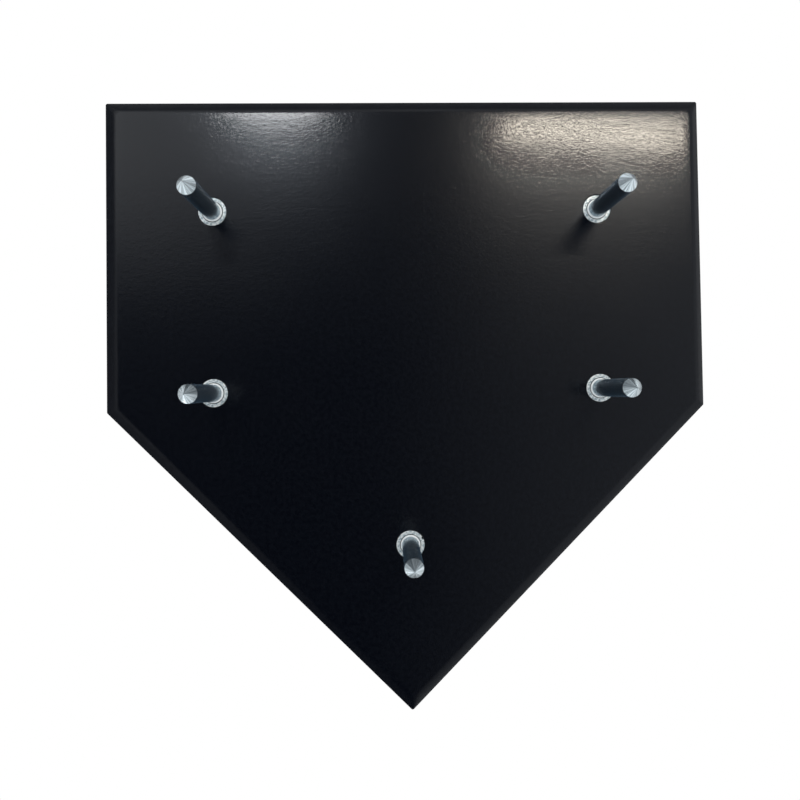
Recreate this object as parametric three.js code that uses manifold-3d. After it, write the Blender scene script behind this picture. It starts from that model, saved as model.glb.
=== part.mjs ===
// Home plate for baseball and softball: a black rubber slab with a bevelled border, a white playing face
// bonded into its top, and five steel ground spikes bolted through the slab under that face.
// Millimetres. +Z is up and +Y runs to the straight front edge, with the plate as it lies on the ground.
// The origin is on the slab's underside, below the middle of the square that the white face is cut from.

import * as THREE from 'three';
import { mergeVertices } from 'three/addons/utils/BufferGeometryUtils.js';
import Module from 'manifold-3d';

const wasm = await Module();
wasm.setup();

// White playing face: 17 inches wide, square at the front, with its two rear corners cut off at 45 degrees
const faceWidth = 431.8;
const faceThickness = 5;
const faceCornerRadius = 1.5;
const faceEdgeEase = 0.8;
const bondLine = 0.3;

// Black slab: a level rim round the face, a bevel down to a short upright land, and a chamfer under that
const slabThickness = 25.4;
const borderWidth = 20;
const rimWidth = 2.5;
const landHeight = 4.5;
const chamferWidth = 7;
const chamferHeight = 2.5;
const edgeEase = 1.2;
const lowerEdgeEase = 0.5;
const edgeCornerRadius = 1.5;
const flatCornerRadius = 5;

// Spike layout, measured in from the slab's own edges, shoulders and tip
const frontRowInset = 87;
const sideInset = 83.5;
const middleRowAheadOfShoulders = 14.5;
const tipSpikeInset = 129.5;

// Spike: turned point, plain shaft, collar that seats in the bush, and stud up into the slab
const spikeLength = 82.55;
const spikeDiameter = 13.5;
const pointLength = 10;
const pointTipDiameter = 1;
const collarStep = 1;
const collarProud = 0.8;
const collarSeatDepth = 1.2;
const collarChamfer = 0.4;
const studDiameter = 9.525;
const studChamfer = 0.8;

// Bush: flange let in flush with the underside, and a barrel up to the washer that limits the clamping
const flangeRingWidth = 2.75;
const collarGap = 0.5;
const flangeThickness = 3;
const flangeChamfer = 0.4;
const barrelWall = 2;

// Anchor washer and jam nut for a 3/8 inch stud, in a pocket that the white face closes
const washerDiameter = 31.75;
const washerThickness = 2.5;
const nutAcrossFlats = 14.29;
const nutHeight = 5.56;
const nutChamferAngle = 30;
const studAboveNut = 0.8;
const studBelowFace = 0.5;

// Clearance round a piece in its hole, and between a piece and the face that it bears on
const fit = 0.3;
const seat = 0.3;

// Facets of round pieces and of the five corners, and steps along a curved edge
const roundSegments = 32;
const cornerSegments = 4;
const curveSteps = 4;

// A cut runs this far past the surface that it opens
const overcut = 1;

// Heights in the slab, from its underside
const faceFloor = slabThickness - faceThickness - bondLine;
const studEnd = faceFloor - studBelowFace;
const nutBottom = studEnd - studAboveNut - nutHeight;
const washerBottom = nutBottom - seat - washerThickness;
const pocketFloor = washerBottom - seat;
const landTop = chamferHeight + landHeight;

// Radii shared by pieces that fit together
const spikeRadius = spikeDiameter / 2;
const collarRadius = spikeRadius + collarStep;
const collarSeatRadius = collarRadius + collarGap;
const flangeRadius = collarSeatRadius + flangeRingWidth;
const studRadius = studDiameter / 2;
const boreRadius = studRadius + fit;
const barrelRadius = boreRadius + barrelWall;
const washerRadius = washerDiameter / 2;

// Outward normals of the five sides, in degrees, round from the right-hand rear side
const sideAngles = [-45, 0, 90, 180, 225, 315].map((angle) => THREE.MathUtils.degToRad(angle));

// Corners of the plate's outline moved out by an offset: right shoulder, front pair, left shoulder, tip.
function plateCorners(offset) {
  const half = faceWidth / 2 + offset;
  const shoulder = -offset * (Math.SQRT2 - 1);
  const tip = -faceWidth / 2 - offset * Math.SQRT2;
  return [
    new THREE.Vector2(half, shoulder),
    new THREE.Vector2(half, half),
    new THREE.Vector2(-half, half),
    new THREE.Vector2(-half, shoulder),
    new THREE.Vector2(0, tip),
  ];
}

// The plate's outline at an offset from the white face's edge, with an arc at each corner.
function plateOutline(offset, radius) {
  return plateCorners(offset - radius).flatMap(({ x, y }, i) => {
    const arc = new THREE.EllipseCurve(x, y, radius, radius, sideAngles[i], sideAngles[i + 1]);
    return arc.getPoints(cornerSegments);
  });
}

// Skin through a stack of outlines with equal point counts, closed at both ends.
function loft(rings) {
  const count = rings[0].points.length;
  const last = (rings.length - 1) * count;
  const positions = rings.flatMap(({ points, z }) => points.flatMap(({ x, y }) => [x, y, z]));
  const index = [];
  for (let start = 0; start < last; start += count) {
    for (let i = 0; i < count; i++) {
      const a = start + i;
      const b = start + (i + 1) % count;
      index.push(a, b, b + count, a, b + count, a + count);
    }
  }
  for (let i = 1; i < count - 1; i++) {
    index.push(0, i + 1, i);
    index.push(last, last + i, last + i + 1);
  }
  const geometry = new THREE.BufferGeometry();
  geometry.setAttribute('position', new THREE.Float32BufferAttribute(positions, 3));
  geometry.setIndex(index);
  return geometry;
}

// Solid of revolution about Z from points of radius and height, taken with the material on their left.
function revolve(profile) {
  const points = profile.map(([radius, height]) => new THREE.Vector2(radius, height));
  return new THREE.LatheGeometry(points, roundSegments).rotateX(Math.PI / 2);
}

// Closed solid that can be joined and cut, from a geometry whose seams are welded here.
function solid(geometry) {
  geometry.deleteAttribute('normal');
  geometry.deleteAttribute('uv');
  const welded = mergeVertices(geometry);
  const corners = welded.index.array;
  const triangles = [];
  for (let i = 0; i < corners.length; i += 3) {
    const [a, b, c] = corners.slice(i, i + 3);
    if (a !== b && b !== c && c !== a) {
      triangles.push(a, b, c);
    }
  }
  return new wasm.Manifold(new wasm.Mesh({
    numProp: 3,
    vertProperties: new Float32Array(welded.attributes.position.array),
    triVerts: new Uint32Array(triangles),
  }));
}

// Named scene node of a finished solid.
function piece(name, body, material) {
  const { vertProperties, triVerts } = body.getMesh();
  const geometry = new THREE.BufferGeometry();
  geometry.setAttribute('position', new THREE.BufferAttribute(vertProperties, 3));
  geometry.setIndex(new THREE.BufferAttribute(triVerts, 1));
  geometry.computeVertexNormals();
  const mesh = new THREE.Mesh(geometry, material);
  mesh.name = name;
  return mesh;
}

const blackRubber = () => new THREE.MeshStandardMaterial({ color: 0x15171b, roughness: 0.5, metalness: 0 });
const whiteRubber = () => new THREE.MeshStandardMaterial({ color: 0xe9e9e4, roughness: 0.6, metalness: 0 });
const zincSteel = () => new THREE.MeshStandardMaterial({ color: 0xc3c9cd, roughness: 0.3, metalness: 1 });

// Goes on to a corner, rounded off over a short run on both of its sides, towards the next point.
function easeRound(path, corner, next, run) {
  const into = corner.clone().sub(path.currentPoint).setLength(run);
  const out = next.clone().sub(corner).setLength(run);
  path.lineTo(corner.x - into.x, corner.y - into.y);
  path.quadraticCurveTo(corner.x, corner.y, corner.x + out.x, corner.y + out.y);
}

// Edge of the slab, as offset from the white face against height, from the underside up to the rim.
// The path comes in along the underside, and that first point isn't on the edge.
function slabEdge() {
  const flatCorner = new THREE.Vector2(borderWidth - chamferWidth, 0);
  const chamferCorner = new THREE.Vector2(borderWidth, chamferHeight);
  const landCorner = new THREE.Vector2(borderWidth, landTop);
  const bevelCorner = new THREE.Vector2(rimWidth, slabThickness);
  const rimInside = new THREE.Vector2(fit, slabThickness);
  const edge = new THREE.Path();
  edge.moveTo(0, 0);
  easeRound(edge, flatCorner, chamferCorner, edgeEase);
  easeRound(edge, chamferCorner, landCorner, lowerEdgeEase);
  easeRound(edge, landCorner, bevelCorner, edgeEase);
  easeRound(edge, bevelCorner, rimInside, edgeEase);
  const [, ...outside] = edge.getPoints(curveSteps);
  return outside;
}

// The corners of the flat underside are rounder than the slab's own, and fade into them over the chamfer.
function slabCornerRadius(offset, z) {
  const share = z < chamferHeight ? Math.min((borderWidth - offset) / chamferWidth, 1) : 0;
  return edgeCornerRadius + (flatCornerRadius - edgeCornerRadius) * share;
}

// Stepped hole for one spike: counterbore for the flange, hole for the barrel, pocket for washer and nut.
function spikeHole() {
  const counterbore = flangeRadius + fit;
  const counterboreFloor = flangeThickness + seat;
  const hole = barrelRadius + fit;
  const pocket = washerRadius + fit;
  return solid(revolve([
    [0, -overcut],
    [counterbore, -overcut],
    [counterbore, counterboreFloor],
    [hole, counterboreFloor],
    [hole, pocketFloor],
    [pocket, pocketFloor],
    [pocket, faceFloor + overcut],
    [0, faceFloor + overcut],
  ]));
}

function slabBody(stations) {
  const rings = slabEdge().map(({ x: offset, y: z }) => {
    return { points: plateOutline(offset, slabCornerRadius(offset, z)), z };
  });
  const recessOutline = plateOutline(fit, faceCornerRadius + fit);
  const recess = loft([
    { points: recessOutline, z: faceFloor },
    { points: recessOutline, z: slabThickness + overcut },
  ]);
  const hole = spikeHole();
  let slab = solid(loft(rings)).subtract(solid(recess));
  for (const { x, y } of stations) {
    slab = slab.subtract(hole.translate([x, y, 0]));
  }
  return slab;
}

function faceBody() {
  const eased = plateOutline(-faceEdgeEase, faceCornerRadius);
  const full = plateOutline(0, faceCornerRadius);
  return solid(loft([
    { points: full, z: faceFloor + bondLine },
    { points: full, z: slabThickness - faceEdgeEase },
    { points: eased, z: slabThickness },
  ]));
}

function spikeBody() {
  const tipRadius = pointTipDiameter / 2;
  return solid(revolve([
    [0, -spikeLength],
    [tipRadius, -spikeLength],
    [spikeRadius, pointLength - spikeLength],
    [spikeRadius, -collarProud],
    [collarRadius - collarChamfer, -collarProud],
    [collarRadius, collarChamfer - collarProud],
    [collarRadius, collarSeatDepth],
    [studRadius, collarSeatDepth],
    [studRadius, studEnd - studChamfer],
    [studRadius - studChamfer, studEnd],
    [0, studEnd],
  ]));
}

function bushBody() {
  const collarFloor = collarSeatDepth + seat;
  const barrelTop = washerBottom - seat;
  return solid(revolve([
    [collarSeatRadius, 0],
    [flangeRadius - flangeChamfer, 0],
    [flangeRadius, flangeChamfer],
    [flangeRadius, flangeThickness],
    [barrelRadius, flangeThickness],
    [barrelRadius, barrelTop],
    [boreRadius, barrelTop],
    [boreRadius, collarFloor],
    [collarSeatRadius, collarFloor],
    [collarSeatRadius, 0],
  ]));
}

function washerBody() {
  const washerTop = washerBottom + washerThickness;
  return solid(revolve([
    [boreRadius, washerBottom],
    [washerRadius, washerBottom],
    [washerRadius, washerTop],
    [boreRadius, washerTop],
    [boreRadius, washerBottom],
  ]));
}

// Hexagon bar drilled for the stud, with its corners turned off at both ends.
function nutBody() {
  const sides = 6;
  const flatRadius = nutAcrossFlats / 2;
  const cornerRadius = flatRadius / Math.cos(Math.PI / sides);
  const cornerDrop = (cornerRadius - flatRadius) * Math.tan(THREE.MathUtils.degToRad(nutChamferAngle));
  const nutTop = nutBottom + nutHeight;
  const hexagon = new THREE.Shape(new THREE.EllipseCurve(0, 0, cornerRadius, cornerRadius).getPoints(sides));
  const bar = new THREE.ExtrudeGeometry(hexagon, { depth: nutHeight, bevelEnabled: false });
  const turned = revolve([
    [boreRadius, nutBottom],
    [flatRadius, nutBottom],
    [cornerRadius, nutBottom + cornerDrop],
    [cornerRadius, nutTop - cornerDrop],
    [flatRadius, nutTop],
    [boreRadius, nutTop],
    [boreRadius, nutBottom],
  ]);
  return solid(bar.translate(0, 0, nutBottom)).intersect(solid(turned));
}

// The five places where a spike goes through the slab.
function spikeStations() {
  const [shoulder, frontCorner, , , tip] = plateCorners(borderWidth);
  const across = frontCorner.x - sideInset;
  const frontRow = frontCorner.y - frontRowInset;
  const middleRow = shoulder.y + middleRowAheadOfShoulders;
  return [
    { place: 'front_left', x: -across, y: frontRow },
    { place: 'front_right', x: across, y: frontRow },
    { place: 'middle_left', x: -across, y: middleRow },
    { place: 'middle_right', x: across, y: middleRow },
    { place: 'tip', x: 0, y: tip.y + tipSpikeInset },
  ];
}

const stations = spikeStations();
const homePlate = new THREE.Group();
homePlate.add(piece('base_slab', slabBody(stations), blackRubber()));
homePlate.add(piece('top_face', faceBody(), whiteRubber()));

for (const { place, x, y } of stations) {
  const station = new THREE.Group();
  station.position.set(x, y, 0);
  station.add(piece(`spike_${place}`, spikeBody(), zincSteel()));
  station.add(piece(`flange_bush_${place}`, bushBody(), zincSteel()));
  station.add(piece(`anchor_washer_${place}`, washerBody(), zincSteel()));
  station.add(piece(`anchor_nut_${place}`, nutBody(), zincSteel()));
  homePlate.add(station);
}

export default homePlate;
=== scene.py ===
"""Home plate with five ground spikes: finished surfaces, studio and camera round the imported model.

Metres, in the model's own frame: +Z up out of the white face, +Y to the straight front edge, origin on the
underside.
"""

import math

import bmesh
import bpy
from mathutils import Matrix, Vector, noise


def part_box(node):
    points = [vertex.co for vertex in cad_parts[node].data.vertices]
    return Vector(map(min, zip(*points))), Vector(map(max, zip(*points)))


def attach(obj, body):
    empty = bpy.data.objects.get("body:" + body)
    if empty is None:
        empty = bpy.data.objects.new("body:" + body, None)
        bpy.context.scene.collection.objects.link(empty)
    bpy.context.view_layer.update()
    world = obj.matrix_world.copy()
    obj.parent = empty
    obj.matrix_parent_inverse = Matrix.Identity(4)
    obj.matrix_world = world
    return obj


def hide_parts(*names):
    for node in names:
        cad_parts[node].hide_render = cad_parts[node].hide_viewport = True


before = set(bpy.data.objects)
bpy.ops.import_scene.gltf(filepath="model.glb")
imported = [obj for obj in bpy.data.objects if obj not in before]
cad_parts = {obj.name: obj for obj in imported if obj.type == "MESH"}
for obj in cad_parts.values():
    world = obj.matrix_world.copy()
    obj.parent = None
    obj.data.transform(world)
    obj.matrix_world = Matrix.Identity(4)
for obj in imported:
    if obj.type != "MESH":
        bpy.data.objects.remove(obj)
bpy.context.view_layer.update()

PLACES = ("front_left", "front_right", "middle_left", "middle_right", "tip")

# Gap round a piece in its hole, and between a piece and its seat
CLEARANCE = 0.0003

# Moulded slab: chamfer under the edge, upright land, and level rim round the white face
CHAMFER_WIDTH = 0.007
CHAMFER_HEIGHT = 0.0025
LAND_HEIGHT = 0.0045
RIM_WIDTH = 0.0025

# Rounding of the slab's and the face's edges and corners
EDGE_EASE = 0.0012
FLAT_EASE = 0.0020
LOWER_EASE = 0.00015
RIM_EASE = 0.0004
SEAT_LIP = 0.0004
OUTER_CORNER = 0.0015
FLAT_CORNER = 0.005
FACE_CORNER = 0.0015
FACE_EASE = 0.0008

# How far the trimmed edge of the flat underside is off centre, how far it wanders, and over what lengths
TRIM_SHIFT = Vector((-0.0013, 0))
EDGE_WANDER = 0.00032
WANDER_LENGTH = 0.021
NICK_LENGTH = 0.0065
NICK_SHARE = 0.5

# Nibs of flash on the rims of two flanges: place, direction round the flange in degrees, and half width.
# The rise is half a nib's height, and the sink is how far the nib goes up past the underside
FLASH = (("tip", 150.5, 0.00095), ("front_left", -117.5, 0.0005))
FLASH_RISE = 0.0003
FLASH_SINK = 0.00015
FLASH_UNEVEN = 0.35
FLASH_DIVISIONS = 3

# Spike and bush: what their boxes don't give
SPIKE_RADIUS = 0.00675
POINT_LENGTH = 0.010
POINT_RADIUS = 0.0005
POINT_EASE = 0.0004
SHOULDER_EASE = 0.0003
COLLAR_PROUD = 0.0008
COLLAR_SEAT = 0.0012
COLLAR_EASE = 0.0003
COLLAR_GAP = 0.0005
ROOT_FILLET = 0.0006
STUD_RADIUS = 0.0047625
STUD_CHAMFER = 0.0008
FLANGE_THICKNESS = 0.003
FLANGE_EASE = 0.0004
BARREL_WALL = 0.002

# Steps along curves, and spacing of points along the slab's sides
CORNER_STEPS = 8
EASE_STEPS = 6
ROUND_STEPS = 96
SIDE_STEP = 0.003
SHARP_ANGLE = math.radians(32)

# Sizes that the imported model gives
slab_low, slab_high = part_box("base_slab")
face_low, face_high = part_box("top_face")
bush_low, bush_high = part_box("flange_bush_tip")
spike_low, spike_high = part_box("spike_tip")
washer_low, washer_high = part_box("anchor_washer_tip")
FACE_HALF = face_high.x
BORDER = slab_high.x - FACE_HALF
THICKNESS = slab_high.z
RECESS_FLOOR = face_low.z - CLEARANCE
FLANGE_RADIUS = (bush_high.x - bush_low.x) / 2
BARREL_TOP = bush_high.z
COLLAR_RADIUS = (spike_high.x - spike_low.x) / 2
SPIKE_POINT = spike_low.z
STUD_TOP = spike_high.z
WASHER_RADIUS = (washer_high.x - washer_low.x) / 2
POCKET_FLOOR = washer_low.z - CLEARANCE
BORE_RADIUS = STUD_RADIUS + CLEARANCE
BARREL_RADIUS = BORE_RADIUS + BARREL_WALL

# Grain of the finishes: noise scales in repeats to a metre, and heights in metres
EVEN = (1.0, 1.0, 1.0)
ACROSS_PLATE = (0.33, 1.0, 1.0)
DOWN_SPIKE = (0.02, 0.02, 1.0)
RUBBER_WAVES, RUBBER_WAVE_HEIGHT = 24.0, 0.00006
RUBBER_WRINKLES, RUBBER_WRINKLE_HEIGHT = 300.0, 0.000019
RUBBER_FLECKS, RUBBER_FLECK_HEIGHT = 500.0, 0.000044
RUBBER_SPECKS = 300.0
RUBBER_PATCHES = 9.0
FACE_WAVES, FACE_WAVE_HEIGHT = 35.0, 0.0002
FACE_PEBBLES, FACE_PEBBLE_HEIGHT = 900.0, 0.00005
FACE_PATCHES = 12.0
LATHE_RINGS, LATHE_RING_HEIGHT = 1300.0, 0.00001
PUNCHED_GRAIN, PUNCHED_GRAIN_HEIGHT = 1400.0, 0.00008
PUNCHED_MOTTLE = 520.0
ANCHOR_GRAIN, ANCHOR_GRAIN_HEIGHT = 1600.0, 0.00002
ANCHOR_CLOUDS = 220.0

# How far the noise behind the polish marks and painted reflections shifts for each metre from one spike to
# the next
REFLECTION_STREAK_CHANGE = 40.0

# Parts of a noise's range over which the finishes change
WIDE = (0.3, 0.7)
SPECK_RANGE = (0.35, 0.65)
PATCH_RANGE = (0.3, 0.65)
REFLECTION_STREAK_RANGE = (0.36, 0.55)
MOTTLE_RANGE = (0.40, 0.55)

# Heights above the underside over which the gap round a collar darkens: painted shade with grime
GRIME_AND_SHADE = (0.0001, 0.0006)

# Lamps: two windows hang below the plate towards its front edge, where the camera sees them mirrored in the
# rubber, and one key hangs over the white face. Places and sizes in metres, power in watts, roll in degrees
LAMP_DROP = 1.5
NEUTRAL = (1.0, 1.0, 1.0)
WARM = (1.0, 0.885, 0.74)

# Surroundings: a soft even dome lights the plate, and the background is plain white. What the plate mirrors
# is a room. Its levels run from 0, the ground's colour, to 1, white. Its edges are a direction's X, Y or Z
SOFT_LEVEL = 0.85
GROUND = (0.007, 0.012, 0.024)
WHITE = (1.0, 1.0, 1.0)

# The room's horizon, grey and a little lighter just below
DARK_BELOW = -0.52
GREY_FROM = -0.28
LOW_LEVEL = 0.60
HORIZON_LEVEL = 0.20

# The room's lighter rear, above the horizon, and lighter left side
REAR_FROM = -0.25
REAR_END = 0.3
REAR_LEVEL = 0.85
SIDE_LEVEL = 0.62
SIDE_FADE = 0.6

# Glows low in the room: ahead, to the right, and in the corner between them
GLOW_EDGE = (0.42, 0.60)
GLOW_TOP = (-0.78, -0.45)
FRONT_GLOW = 0.5
SIDE_GLOW = 0.27
CORNER_GLOW = 1.0
CORNER_ACROSS = (0.13, 0.33)
CORNER_AHEAD = (0.115, 0.30)
CORNER_TOP = (-0.80, -0.60)

# The room's white ring overhead, which dims towards the zenith
WHITE_EDGE = (0.14, 0.36)
DIM_EDGE = (0.42, 0.92)
ZENITH_LEVEL = 0.3

# Floor under the spikes' points: it fades to white far off, and only what is close to it mirrors it
FLOOR_RADIUS = 12.0
FLOOR_TONE = 0.86
FLOOR_FADE = (0.5, 2.5)
MIRROR_SHARE = 0.55
MIRROR_REACH = (0.03, 0.06)

# Camera of the photograph: straight below the plate, looking up, with the front edge at the picture's top
CAMERA_PLACE = Vector((0.0178, 0.0078, -0.5575))
CAMERA_AIM = Vector((0.0028, 0.0205, 0.0))
CAMERA_ROLL = math.radians(0.80)
PICTURE_SIZE = 800
FOCAL_PIXELS = 708
PICTURE_CENTRE = (404.6, 372.4)
SENSOR_WIDTH = 36


def station(place):
    """The spot on the underside where a spike goes through, from its bush."""
    low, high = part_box(f"flange_bush_{place}")
    return Vector(((low.x + high.x) / 2, (low.y + high.y) / 2, 0))


def eased(corners):
    """Points along a polyline of (across, up, run), each corner rounded off over its run on both sides."""
    path = [Vector(corners[0][:2])]
    for before, corner, after in zip(corners, corners[1:], corners[2:]):
        middle = Vector(corner[:2])
        start = middle + (Vector(before[:2]) - middle).normalized() * corner[2]
        end = middle + (Vector(after[:2]) - middle).normalized() * corner[2]
        steps = EASE_STEPS if corner[2] > 0 else 0
        for step in range(steps + 1):
            t = step / max(steps, 1)
            path.append(start * (1 - t) ** 2 + middle * (2 * t * (1 - t)) + end * t ** 2)
    path.append(Vector(corners[-1][:2]))
    return path


def plate_corners(offset):
    """Corners of the white face's outline moved out by an offset, with the two sides' outward angles."""
    half = FACE_HALF + offset
    shoulder = -offset * (math.sqrt(2) - 1)
    tip = -FACE_HALF - offset * math.sqrt(2)
    return [
        (half, shoulder, -45, 0),
        (half, half, 0, 90),
        (-half, half, 90, 180),
        (-half, shoulder, 180, 225),
        (0, tip, 225, 315),
    ]


def plate_outline(offset, radius):
    """Outline at an offset from the white face's edge: an arc at each corner, and even steps between."""
    arcs = []
    for x, y, start, end in plate_corners(offset - radius):
        turns = [step / CORNER_STEPS for step in range(CORNER_STEPS + 1)]
        angles = [math.radians(start + (end - start) * turn) for turn in turns]
        arcs.append([Vector((x + radius * math.cos(a), y + radius * math.sin(a))) for a in angles])
    corners = [Vector(corner[:2]) for corner in plate_corners(0)]
    points = []
    for i, arc in enumerate(arcs):
        following = i + 1 - len(arcs)
        steps = round((corners[following] - corners[i]).length / SIDE_STEP)
        points += arc
        points += [arc[-1].lerp(arcs[following][0], step / steps) for step in range(1, steps)]
    return points


def ring(bm, points, height):
    return [bm.verts.new((p.x, p.y, height)) for p in points]


def circle(bm, centre, radius, height):
    angles = [2 * math.pi * i / ROUND_STEPS for i in range(ROUND_STEPS)]
    return ring(bm, [centre.xy + Vector((math.cos(a), math.sin(a))) * radius for a in angles], height)


def bridge(bm, rings):
    """Walls between each ring of points and the next."""
    for lower, upper in zip(rings, rings[1:]):
        for i in range(len(lower)):
            bm.faces.new((lower[i - 1], lower[i], upper[i], upper[i - 1])).smooth = True


def cap(bm, *loops):
    """Level face inside the first loop and outside the others."""
    edges = [bm.edges.get((loop[i - 1], loop[i])) for loop in loops for i in range(len(loop))]
    bmesh.ops.triangle_fill(bm, use_beauty=True, use_dissolve=False, edges=edges)


def placed_object(bm, name, materials, place=(0, 0, 0)):
    """Turns a built surface into an object in the scene."""
    mesh = bpy.data.meshes.new(name)
    bm.to_mesh(mesh)
    bm.free()
    for material in materials:
        mesh.materials.append(material)
    placed = bpy.data.objects.new(name, mesh)
    placed.location = place
    bpy.context.scene.collection.objects.link(placed)
    return placed


def finished_object(bm, name, materials, place=(0, 0, 0)):
    """Turns a closed surface into a piece, with its faces pointing out and its sharp edges kept."""
    bmesh.ops.recalc_face_normals(bm, faces=bm.faces)
    piece = placed_object(bm, name, materials, place)
    piece.data.set_sharp_from_angle(angle=SHARP_ANGLE)
    return piece


def dress(piece, node):
    """Puts a finished piece in the place of its CAD node."""
    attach(piece, "root")
    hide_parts(node)


def wander(point):
    """Small unevenness of a trimmed rubber edge at a point of the outline."""
    slow = noise.noise(point.to_3d() / WANDER_LENGTH)
    quick = noise.noise(point.to_3d() / NICK_LENGTH)
    return EDGE_WANDER * (slow + NICK_SHARE * quick)


def slab_ring(bm, offset, height):
    """One ring of the slab's edge. The flat's edge has rounder corners, lies off centre, and wanders."""
    low = max(0, 1 - height / CHAMFER_HEIGHT)
    inward = min((BORDER - offset) / CHAMFER_WIDTH, 1) if height < CHAMFER_HEIGHT else 0
    corner = OUTER_CORNER + (FLAT_CORNER - OUTER_CORNER) * inward
    points = plate_outline(offset, corner)
    return ring(bm, [p + (p.normalized() * wander(p) + TRIM_SHIFT) * low for p in points], height)


def add_flash(bm, place, direction, half):
    """An uneven lump of rubber flash that laps over a flange's rim."""
    angle = math.radians(direction)
    outward = Vector((math.cos(angle), math.sin(angle), 0))
    centre = station(place) + outward * FLANGE_RADIUS + Vector((0, 0, FLASH_SINK - FLASH_RISE))
    shape = Matrix.Translation(centre) @ Matrix.Diagonal((half, half, FLASH_RISE, 1))
    lump = bmesh.ops.create_icosphere(bm, subdivisions=FLASH_DIVISIONS, radius=1, matrix=shape)["verts"]
    for vert in lump:
        swell = 1 + FLASH_UNEVEN * noise.noise(vert.co / half)
        vert.co.xy = centre.xy + (vert.co.xy - centre.xy) * swell
    for face in {face for vert in lump for face in vert.link_faces}:
        face.smooth = True


def build_slab(material):
    bm = bmesh.new()
    edge = eased([
        (BORDER - 2 * CHAMFER_WIDTH, 0, 0),
        (BORDER - CHAMFER_WIDTH, 0, FLAT_EASE),
        (BORDER, CHAMFER_HEIGHT, LOWER_EASE),
        (BORDER, CHAMFER_HEIGHT + LAND_HEIGHT, EDGE_EASE),
        (RIM_WIDTH, THICKNESS, EDGE_EASE),
        (CLEARANCE, THICKNESS, RIM_EASE),
        (CLEARANCE, RECESS_FLOOR, 0),
    ])
    outside = [slab_ring(bm, offset, height) for offset, height in edge]
    bridge(bm, outside)
    hole = eased([
        (FLANGE_RADIUS + CLEARANCE + 2 * SEAT_LIP, 0, 0),
        (FLANGE_RADIUS + CLEARANCE, 0, SEAT_LIP),
        (FLANGE_RADIUS + CLEARANCE, FLANGE_THICKNESS + CLEARANCE, 0),
        (BARREL_RADIUS + CLEARANCE, FLANGE_THICKNESS + CLEARANCE, 0),
        (BARREL_RADIUS + CLEARANCE, POCKET_FLOOR, 0),
        (WASHER_RADIUS + CLEARANCE, POCKET_FLOOR, 0),
        (WASHER_RADIUS + CLEARANCE, RECESS_FLOOR, 0),
    ])
    mouths = []
    pockets = []
    for place in PLACES:
        walls = [circle(bm, station(place), radius, height) for radius, height in hole]
        bridge(bm, walls)
        mouths.append(walls[0])
        pockets.append(walls[-1])
    cap(bm, outside[0], *mouths)
    cap(bm, outside[-1], *pockets)
    for nib in FLASH:
        add_flash(bm, *nib)
    return finished_object(bm, "rubber_slab", [material])


def build_face(material):
    bm = bmesh.new()
    edge = eased([
        (0, face_low.z, 0),
        (0, face_high.z, FACE_EASE),
        (-2 * FACE_EASE, face_high.z, 0),
    ])
    rings = [ring(bm, plate_outline(offset, FACE_CORNER), height) for offset, height in edge]
    bridge(bm, rings)
    cap(bm, rings[0])
    cap(bm, rings[-1])
    return finished_object(bm, "white_face", [material])


def turned(bm, profile):
    """Surface of revolution about Z through points of (radius, height). Points on the axis close the ends."""
    origin = Vector((0, 0, 0))
    ends = [p for p in (profile[0], profile[-1]) if p.x == 0]
    rings = [circle(bm, origin, p.x, p.y) for p in profile if p.x > 0]
    bridge(bm, rings)
    for end, loop in zip(ends, (rings[0], rings[-1])):
        pole = bm.verts.new((0, 0, end.y))
        for i in range(len(loop)):
            bm.faces.new((loop[i - 1], loop[i], pole)).smooth = True
    return rings


def build_spike(place, finishes):
    """A spike with its own finish on the point, on the shaft, and on the collar and stud."""
    bm = bmesh.new()
    shoulder = SPIKE_POINT + POINT_LENGTH
    root = -COLLAR_PROUD - ROOT_FILLET
    profile = eased([
        (0, SPIKE_POINT, 0),
        (POINT_RADIUS, SPIKE_POINT, POINT_EASE),
        (SPIKE_RADIUS, shoulder, SHOULDER_EASE),
        (SPIKE_RADIUS, -COLLAR_PROUD, ROOT_FILLET),
        (COLLAR_RADIUS, -COLLAR_PROUD, COLLAR_EASE),
        (COLLAR_RADIUS, COLLAR_SEAT, 0),
        (STUD_RADIUS, COLLAR_SEAT, 0),
        (STUD_RADIUS, STUD_TOP - STUD_CHAMFER, 0),
        (STUD_RADIUS - STUD_CHAMFER, STUD_TOP, 0),
        (0, STUD_TOP, 0),
    ])
    turned(bm, profile)
    for face in bm.faces:
        height = face.calc_center_median().z
        face.material_index = (height > shoulder) + (height > root)
    return finished_object(bm, f"steel_spike_{place}", finishes, station(place))


def build_bush(place, material):
    bm = bmesh.new()
    seat = COLLAR_RADIUS + COLLAR_GAP
    floor = COLLAR_SEAT + CLEARANCE
    profile = eased([
        (seat, floor, 0),
        (seat, 0, FLANGE_EASE),
        (FLANGE_RADIUS, 0, FLANGE_EASE),
        (FLANGE_RADIUS, FLANGE_THICKNESS, 0),
        (BARREL_RADIUS, FLANGE_THICKNESS, 0),
        (BARREL_RADIUS, BARREL_TOP, 0),
        (BORE_RADIUS, BARREL_TOP, 0),
        (BORE_RADIUS, floor, 0),
    ])
    rings = turned(bm, profile)
    bridge(bm, [rings[-1], rings[0]])
    return finished_object(bm, f"steel_bush_{place}", [material], station(place))


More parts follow.
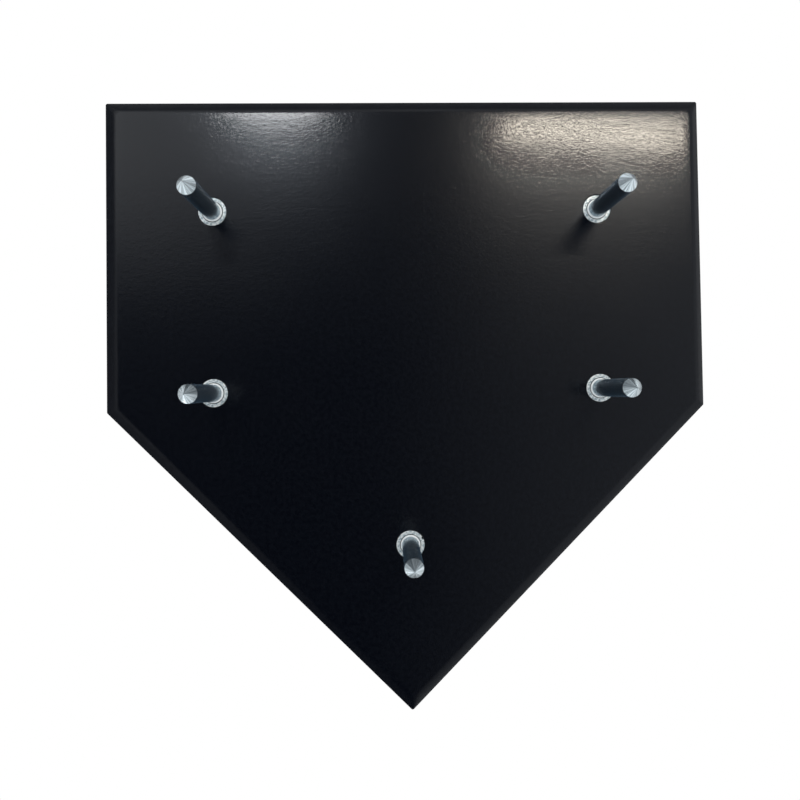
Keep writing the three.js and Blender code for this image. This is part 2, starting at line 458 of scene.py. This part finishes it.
class Graph:
    """Short way to add and join shader nodes."""

    def __init__(self, tree):
        self.tree = tree
        tree.nodes.clear()

    def add(self, kind, inputs=None, **settings):
        node = self.tree.nodes.new(kind)
        for name, value in settings.items():
            setattr(node, name, value)
        for name, value in (inputs or {}).items():
            if isinstance(value, bpy.types.NodeSocket):
                self.tree.links.new(value, node.inputs[name])
            else:
                node.inputs[name].default_value = value
        return node

    def math(self, operation, first, second):
        return self.add("ShaderNodeMath", {0: first, 1: second}, operation=operation).outputs[0]

    def stretched(self, scale):
        """The object's own coordinates, stretched by a scale along each axis."""
        place = self.add("ShaderNodeTexCoord").outputs["Object"]
        return self.add("ShaderNodeMapping", {"Vector": place, "Scale": scale}).outputs["Vector"]

    def around(self, change):
        """Direction round the object's Z axis, shifted by the object's place so that no two look alike."""
        outward = self.add("ShaderNodeVectorMath", {0: self.stretched((1, 1, 0))}, operation="NORMALIZE")
        spot = self.add("ShaderNodeObjectInfo").outputs["Location"]
        shift = self.add("ShaderNodeVectorMath", {0: spot, "Scale": change}, operation="SCALE")
        both = {0: outward.outputs["Vector"], 1: shift.outputs["Vector"]}
        return self.add("ShaderNodeVectorMath", both, operation="ADD").outputs["Vector"]

    def noise(self, vector, scale, detail=3.0, roughness=0.55, distortion=0.0):
        inputs = {"Vector": vector, "Scale": scale, "Detail": detail, "Roughness": roughness,
                  "Distortion": distortion}
        return self.add("ShaderNodeTexNoise", inputs).outputs["Fac"]

    def ramp(self, value, low, high, start, end):
        """Maps a value between start and end to a number or a colour between low and high."""
        if isinstance(low, tuple):
            node = self.add("ShaderNodeValToRGB", {"Fac": value})
            stops = node.color_ramp.elements
            stops[0].position, stops[1].position = start, end
            stops[0].color, stops[1].color = (*low, 1), (*high, 1)
            return node.outputs["Color"]
        inputs = {"Value": value, "From Min": start, "From Max": end, "To Min": low, "To Max": high}
        return self.add("ShaderNodeMapRange", inputs).outputs["Result"]

    def bump(self, height, distance, normal=None):
        inputs = {"Height": height, "Distance": distance, "Strength": 1.0}
        if normal is not None:
            inputs["Normal"] = normal
        return self.add("ShaderNodeBump", inputs).outputs["Normal"]

    def surface(self, inputs):
        shader = self.add("ShaderNodeBsdfPrincipled", inputs)
        self.add("ShaderNodeOutputMaterial", {"Surface": shader.outputs[0]})


def material_graph(name):
    material = bpy.data.materials.new(name)
    material.use_nodes = True
    return material, Graph(material.node_tree)


def black_rubber():
    """Moulded black rubber: satin skin with a fine leathery grain that runs across the plate."""
    material, g = material_graph("black_rubber")
    across = g.stretched(ACROSS_PLATE)
    plain = g.stretched(EVEN)
    waves = g.noise(across, RUBBER_WAVES, detail=1.0)
    wrinkles = g.noise(across, RUBBER_WRINKLES, detail=1.0, distortion=0.8)
    flecks = g.noise(plain, RUBBER_FLECKS, detail=1.5, distortion=1.2)
    patches = g.noise(plain, RUBBER_PATCHES, detail=4.0)
    specks = g.noise(plain, RUBBER_SPECKS, detail=2.0)
    normal = g.bump(waves, RUBBER_WAVE_HEIGHT)
    normal = g.bump(wrinkles, RUBBER_WRINKLE_HEIGHT, normal)
    normal = g.bump(flecks, RUBBER_FLECK_HEIGHT, normal)
    g.surface({
        "Base Color": g.ramp(specks, (0.0002, 0.0005, 0.0021), (0.0016, 0.0023, 0.0047), *SPECK_RANGE),
        "Roughness": g.ramp(patches, 0.215, 0.24, *WIDE),
        "Normal": normal,
        "Anisotropic": 0.3,
        "Tangent": g.add("ShaderNodeCombineXYZ", {"X": 0.0, "Y": 1.0, "Z": 0.0}).outputs[0],
        "Specular IOR Level": 0.42,
        "Specular Tint": (0.84, 0.91, 1.0, 1.0),
        "Coat Weight": 0.48,
        "Coat Roughness": 0.07,
        "Coat Normal": normal,
    })
    return material


def white_rubber():
    """Moulded white rubber: matt, finely pebbled, very slightly uneven in tone."""
    material, g = material_graph("white_rubber")
    plain = g.stretched(EVEN)
    pebbles = g.noise(plain, FACE_PEBBLES, detail=2.0)
    waves = g.noise(plain, FACE_WAVES, detail=2.0)
    patches = g.noise(plain, FACE_PATCHES, detail=5.0, roughness=0.6)
    normal = g.bump(waves, FACE_WAVE_HEIGHT)
    normal = g.bump(pebbles, FACE_PEBBLE_HEIGHT, normal)
    g.surface({
        "Base Color": g.ramp(patches, (0.82, 0.82, 0.80), (0.86, 0.86, 0.84), *PATCH_RANGE),
        "Roughness": g.ramp(patches, 0.62, 0.50, *WIDE),
        "Normal": normal,
    })
    return material


def turned_zinc(name, dark, pale, metallic, smooth, rough, anisotropic, reflection_streak_scale, film):
    """Zinc plating on turned steel: fine lathe rings, polish marks and painted reflections in stripes to the
    point, a bluish film.
    """
    material, g = material_graph(name)
    rings = g.noise(g.stretched(DOWN_SPIKE), LATHE_RINGS, detail=2.0)
    # Stripes painted into the colour: polish marks, and painted reflections of the room and lamps
    polish_and_reflection_streaks = g.noise(g.around(REFLECTION_STREAK_CHANGE), reflection_streak_scale, detail=3.0, roughness=0.6)
    tangent = g.add("ShaderNodeTangent", direction_type="RADIAL", axis="Z").outputs["Tangent"]
    g.surface({
        "Base Color": g.ramp(polish_and_reflection_streaks, dark, pale, *REFLECTION_STREAK_RANGE),
        "Metallic": g.ramp(polish_and_reflection_streaks, 1.0, metallic, *WIDE),
        "Roughness": g.ramp(polish_and_reflection_streaks, rough, smooth, *WIDE),
        "Anisotropic": anisotropic,
        "Anisotropic Rotation": 0.25,
        "Tangent": tangent,
        "Sheen Weight": film,
        "Sheen Roughness": 0.3,
        "Sheen Tint": (0.22, 0.58, 1.0, 1.0),
        "Normal": g.bump(rings, LATHE_RING_HEIGHT),
    })
    return material


def zinc_point():
    return turned_zinc(
        "zinc_point", dark=(0.32, 0.39, 0.43), pale=(0.75, 0.86, 0.92), metallic=0.97,
        smooth=0.20, rough=0.28, anisotropic=0.6, reflection_streak_scale=3.6, film=0.0)


def zinc_shaft():
    return turned_zinc(
        "zinc_shaft", dark=(0.27, 0.335, 0.39), pale=(0.47, 0.555, 0.615), metallic=0.985,
        smooth=0.19, rough=0.27, anisotropic=0.4, reflection_streak_scale=5.0, film=0.12)


def punched_zinc(name, dark, pale, metallic, smooth, rough):
    """Zinc on punched steel: pale and mottled, with painted shade and grime down in the gap round the collar.
    """
    material, g = material_graph(name)
    plain = g.stretched(EVEN)
    grain = g.noise(plain, PUNCHED_GRAIN, detail=3.0)
    mottle = g.noise(plain, PUNCHED_MOTTLE, detail=3.0, roughness=0.65)
    place = g.add("ShaderNodeTexCoord").outputs["Object"]
    depth = g.add("ShaderNodeSeparateXYZ", {"Vector": place}).outputs["Z"]
    # Painted shade with grime: the zinc's colour darkens with depth into the gap round the collar
    clean_and_unshaded = g.ramp(depth, 1.0, 0.0, *GRIME_AND_SHADE)
    zinc = g.ramp(mottle, dark, pale, *MOTTLE_RANGE)
    tone = g.add("ShaderNodeVectorMath", {0: zinc, "Scale": clean_and_unshaded}, operation="SCALE").outputs["Vector"]
    g.surface({
        "Base Color": tone,
        "Metallic": metallic,
        "Roughness": g.ramp(mottle, rough, smooth, *WIDE),
        "Normal": g.bump(grain, PUNCHED_GRAIN_HEIGHT),
    })
    return material


def zinc_flange():
    return punched_zinc(
        "zinc_flange", dark=(0.34, 0.45, 0.51), pale=(0.91, 0.98, 1.0), metallic=0.40,
        smooth=0.30, rough=0.48)


def zinc_collar():
    return punched_zinc(
        "zinc_collar", dark=(0.84, 0.92, 0.96), pale=(0.93, 0.98, 1.0), metallic=0.15,
        smooth=0.22, rough=0.30)


def anchor_steel():
    """Plain zinc on the hidden washers and nuts, with a dull cloudy finish."""
    material, g = material_graph("anchor_steel")
    plain = g.stretched(EVEN)
    clouds = g.noise(plain, ANCHOR_CLOUDS, detail=4.0)
    g.surface({
        "Base Color": g.ramp(clouds, (0.50, 0.52, 0.53), (0.66, 0.68, 0.69), *WIDE),
        "Metallic": 1.0,
        "Roughness": g.ramp(clouds, 0.34, 0.52, *WIDE),
        "Normal": g.bump(g.noise(plain, ANCHOR_GRAIN), ANCHOR_GRAIN_HEIGHT),
    })
    return material


def looking(place, aim, roll=0.0):
    """Placement of a camera or lamp that faces its aim, with its top towards the plate's front edge."""
    forward = (aim - place).normalized()
    right = forward.cross(Vector((0, 1, 0))).normalized()
    turn = Matrix.Rotation(roll, 3, forward)
    axes = Matrix((turn @ right, turn @ right.cross(forward), -forward)).transposed()
    return Matrix.Translation(place) @ axes.to_4x4()


def area_lamp(name, place, aim, size, power, colour, shape="RECTANGLE", roll=0.0):
    light = bpy.data.lights.new(name, "AREA")
    light.shape = shape
    light.size, light.size_y = size
    light.energy = power
    light.color = colour
    lamp = bpy.data.objects.new(name, light)
    lamp.matrix_world = looking(Vector(place), Vector(aim), math.radians(roll))
    lamp.visible_camera = False
    bpy.context.scene.collection.objects.link(lamp)


def build_lamps():
    area_lamp(
        "warm_window", place=(-0.602, 0.756, -LAMP_DROP), aim=(-0.14, 0.2, 0), size=(0.54, 0.053), power=4.3,
        colour=WARM, roll=8.6)
    area_lamp(
        "plain_window", place=(0.334, 0.85, -LAMP_DROP), aim=(0.11, 0.22, 0), size=(0.30, 0.12), power=1.9,
        colour=NEUTRAL, shape="ELLIPSE")
    area_lamp("top_key", place=(0.9, -1.1, 1.6), aim=(0, 0, 0), size=(0.9, 0.9), power=8.0, colour=NEUTRAL)


def room_level(g):
    """How light the mirrored room is in each direction, from 0, the ground's colour, to 1, white."""
    direction = g.add("ShaderNodeTexCoord").outputs["Generated"]
    right, ahead, up = g.add("ShaderNodeSeparateXYZ", {"Vector": direction}).outputs
    below = g.ramp(up, 0.0, LOW_LEVEL, DARK_BELOW, GREY_FROM)
    horizon = g.math("MINIMUM", below, g.ramp(up, LOW_LEVEL, HORIZON_LEVEL, GREY_FROM, 0.0))
    side = g.math("MULTIPLY", g.ramp(right, SIDE_LEVEL, 0.0, -1.0, 0.0),
                  g.ramp(up, 1.0, SIDE_FADE, *GLOW_TOP))
    rear = g.math("MULTIPLY", g.ramp(ahead, REAR_LEVEL, 0.0, -1.0, REAR_END),
                  g.ramp(up, 0.0, 1.0, REAR_FROM, 0.0))
    walls = g.math("ADD", g.math("MAXIMUM", side, horizon), rear)
    glow = g.math("MAXIMUM", g.ramp(ahead, 0.0, FRONT_GLOW, *GLOW_EDGE),
                  g.ramp(right, 0.0, SIDE_GLOW, *GLOW_EDGE))
    glow = g.math("MULTIPLY", glow, g.ramp(up, 1.0, 0.0, *GLOW_TOP))
    corner = g.math("MULTIPLY", g.ramp(right, 0.0, CORNER_GLOW, *CORNER_ACROSS),
                    g.ramp(ahead, 0.0, 1.0, *CORNER_AHEAD))
    corner = g.math("MULTIPLY", corner, g.ramp(up, 1.0, 0.0, *CORNER_TOP))
    level = g.math("MAXIMUM", walls, g.math("MAXIMUM", glow, corner))
    level = g.math("MAXIMUM", level, g.ramp(up, 0.0, 1.0, *WHITE_EDGE))
    return g.math("MULTIPLY", level, g.ramp(up, 1.0, ZENITH_LEVEL, *DIM_EDGE))


def build_world():
    world = bpy.data.worlds.new("studio")
    bpy.context.scene.world = world
    world.use_nodes = True
    g = Graph(world.node_tree)
    path = g.add("ShaderNodeLightPath").outputs
    soft = g.add("ShaderNodeBackground", {"Color": (*WHITE, 1), "Strength": SOFT_LEVEL}).outputs[0]
    tone = g.ramp(room_level(g), GROUND, WHITE, 0.0, 1.0)
    room = g.add("ShaderNodeBackground", {"Color": tone}).outputs[0]
    white = g.add("ShaderNodeBackground", {"Color": (*WHITE, 1)}).outputs[0]
    mirrored = g.math("MAXIMUM", path["Is Glossy Ray"], path["Is Transmission Ray"])
    lit = g.add("ShaderNodeMixShader", {0: mirrored, 1: soft, 2: room}).outputs[0]
    shown = g.add("ShaderNodeMixShader", {0: path["Is Camera Ray"], 1: lit, 2: white}).outputs[0]
    g.add("ShaderNodeOutputWorld", {"Surface": shown})


def floor_finish():
    """Pale floor that shows only from above and lets the lamps below it shine through."""
    material, g = material_graph("floor")
    place = g.add("ShaderNodeTexCoord").outputs["Object"]
    distance = g.add("ShaderNodeVectorMath", {0: place}, operation="LENGTH").outputs["Value"]
    far = g.ramp(distance, 0.0, 1.0, *FLOOR_FADE)
    pale = g.add("ShaderNodeBsdfDiffuse", {"Color": (FLOOR_TONE, FLOOR_TONE, FLOOR_TONE, 1)}).outputs[0]
    white = g.add("ShaderNodeEmission", {"Color": (*WHITE, 1), "Strength": 1.0}).outputs[0]
    top = g.add("ShaderNodeMixShader", {0: far, 1: pale, 2: white}).outputs[0]
    above = g.math("SUBTRACT", 1.0, g.add("ShaderNodeNewGeometry").outputs["Backfacing"])
    path = g.add("ShaderNodeLightPath").outputs
    close = g.ramp(path["Ray Length"], MIRROR_SHARE, 0.0, *MIRROR_REACH)
    mirrored = g.math("MULTIPLY", path["Is Glossy Ray"], close)
    shown = g.math("MULTIPLY", above, g.math("MAXIMUM", path["Is Camera Ray"], mirrored))
    clear = g.add("ShaderNodeBsdfTransparent").outputs[0]
    mix = g.add("ShaderNodeMixShader", {0: shown, 1: clear, 2: top}).outputs[0]
    g.add("ShaderNodeOutputMaterial", {"Surface": mix})
    return material


def build_floor():
    bm = bmesh.new()
    bm.faces.new(circle(bm, Vector((0, 0, 0)), FLOOR_RADIUS, 0))
    placed_object(bm, "floor", [floor_finish()], (0, 0, SPIKE_POINT))


def build_camera():
    camera = bpy.data.objects.new("camera", bpy.data.cameras.new("camera"))
    camera.matrix_world = looking(CAMERA_PLACE, CAMERA_AIM, CAMERA_ROLL)
    camera.data.sensor_width = SENSOR_WIDTH
    camera.data.lens = SENSOR_WIDTH * FOCAL_PIXELS / PICTURE_SIZE
    camera.data.shift_x = 0.5 - PICTURE_CENTRE[0] / PICTURE_SIZE
    camera.data.shift_y = PICTURE_CENTRE[1] / PICTURE_SIZE - 0.5
    bpy.context.scene.collection.objects.link(camera)
    bpy.context.scene.camera = camera


def build_object():
    dress(build_slab(black_rubber()), "base_slab")
    dress(build_face(white_rubber()), "top_face")
    flange_finish = zinc_flange()
    spike_finishes = [zinc_point(), zinc_shaft(), zinc_collar()]
    anchor_finish = anchor_steel()
    for place in PLACES:
        dress(build_spike(place, spike_finishes), f"spike_{place}")
        dress(build_bush(place, flange_finish), f"flange_bush_{place}")
        for node in (f"anchor_washer_{place}", f"anchor_nut_{place}"):
            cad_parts[node].data.materials.clear()
            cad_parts[node].data.materials.append(anchor_finish)


build_camera()
build_world()
build_lamps()
build_floor()
build_object()
bpy.context.scene.view_settings.view_transform = "Standard"
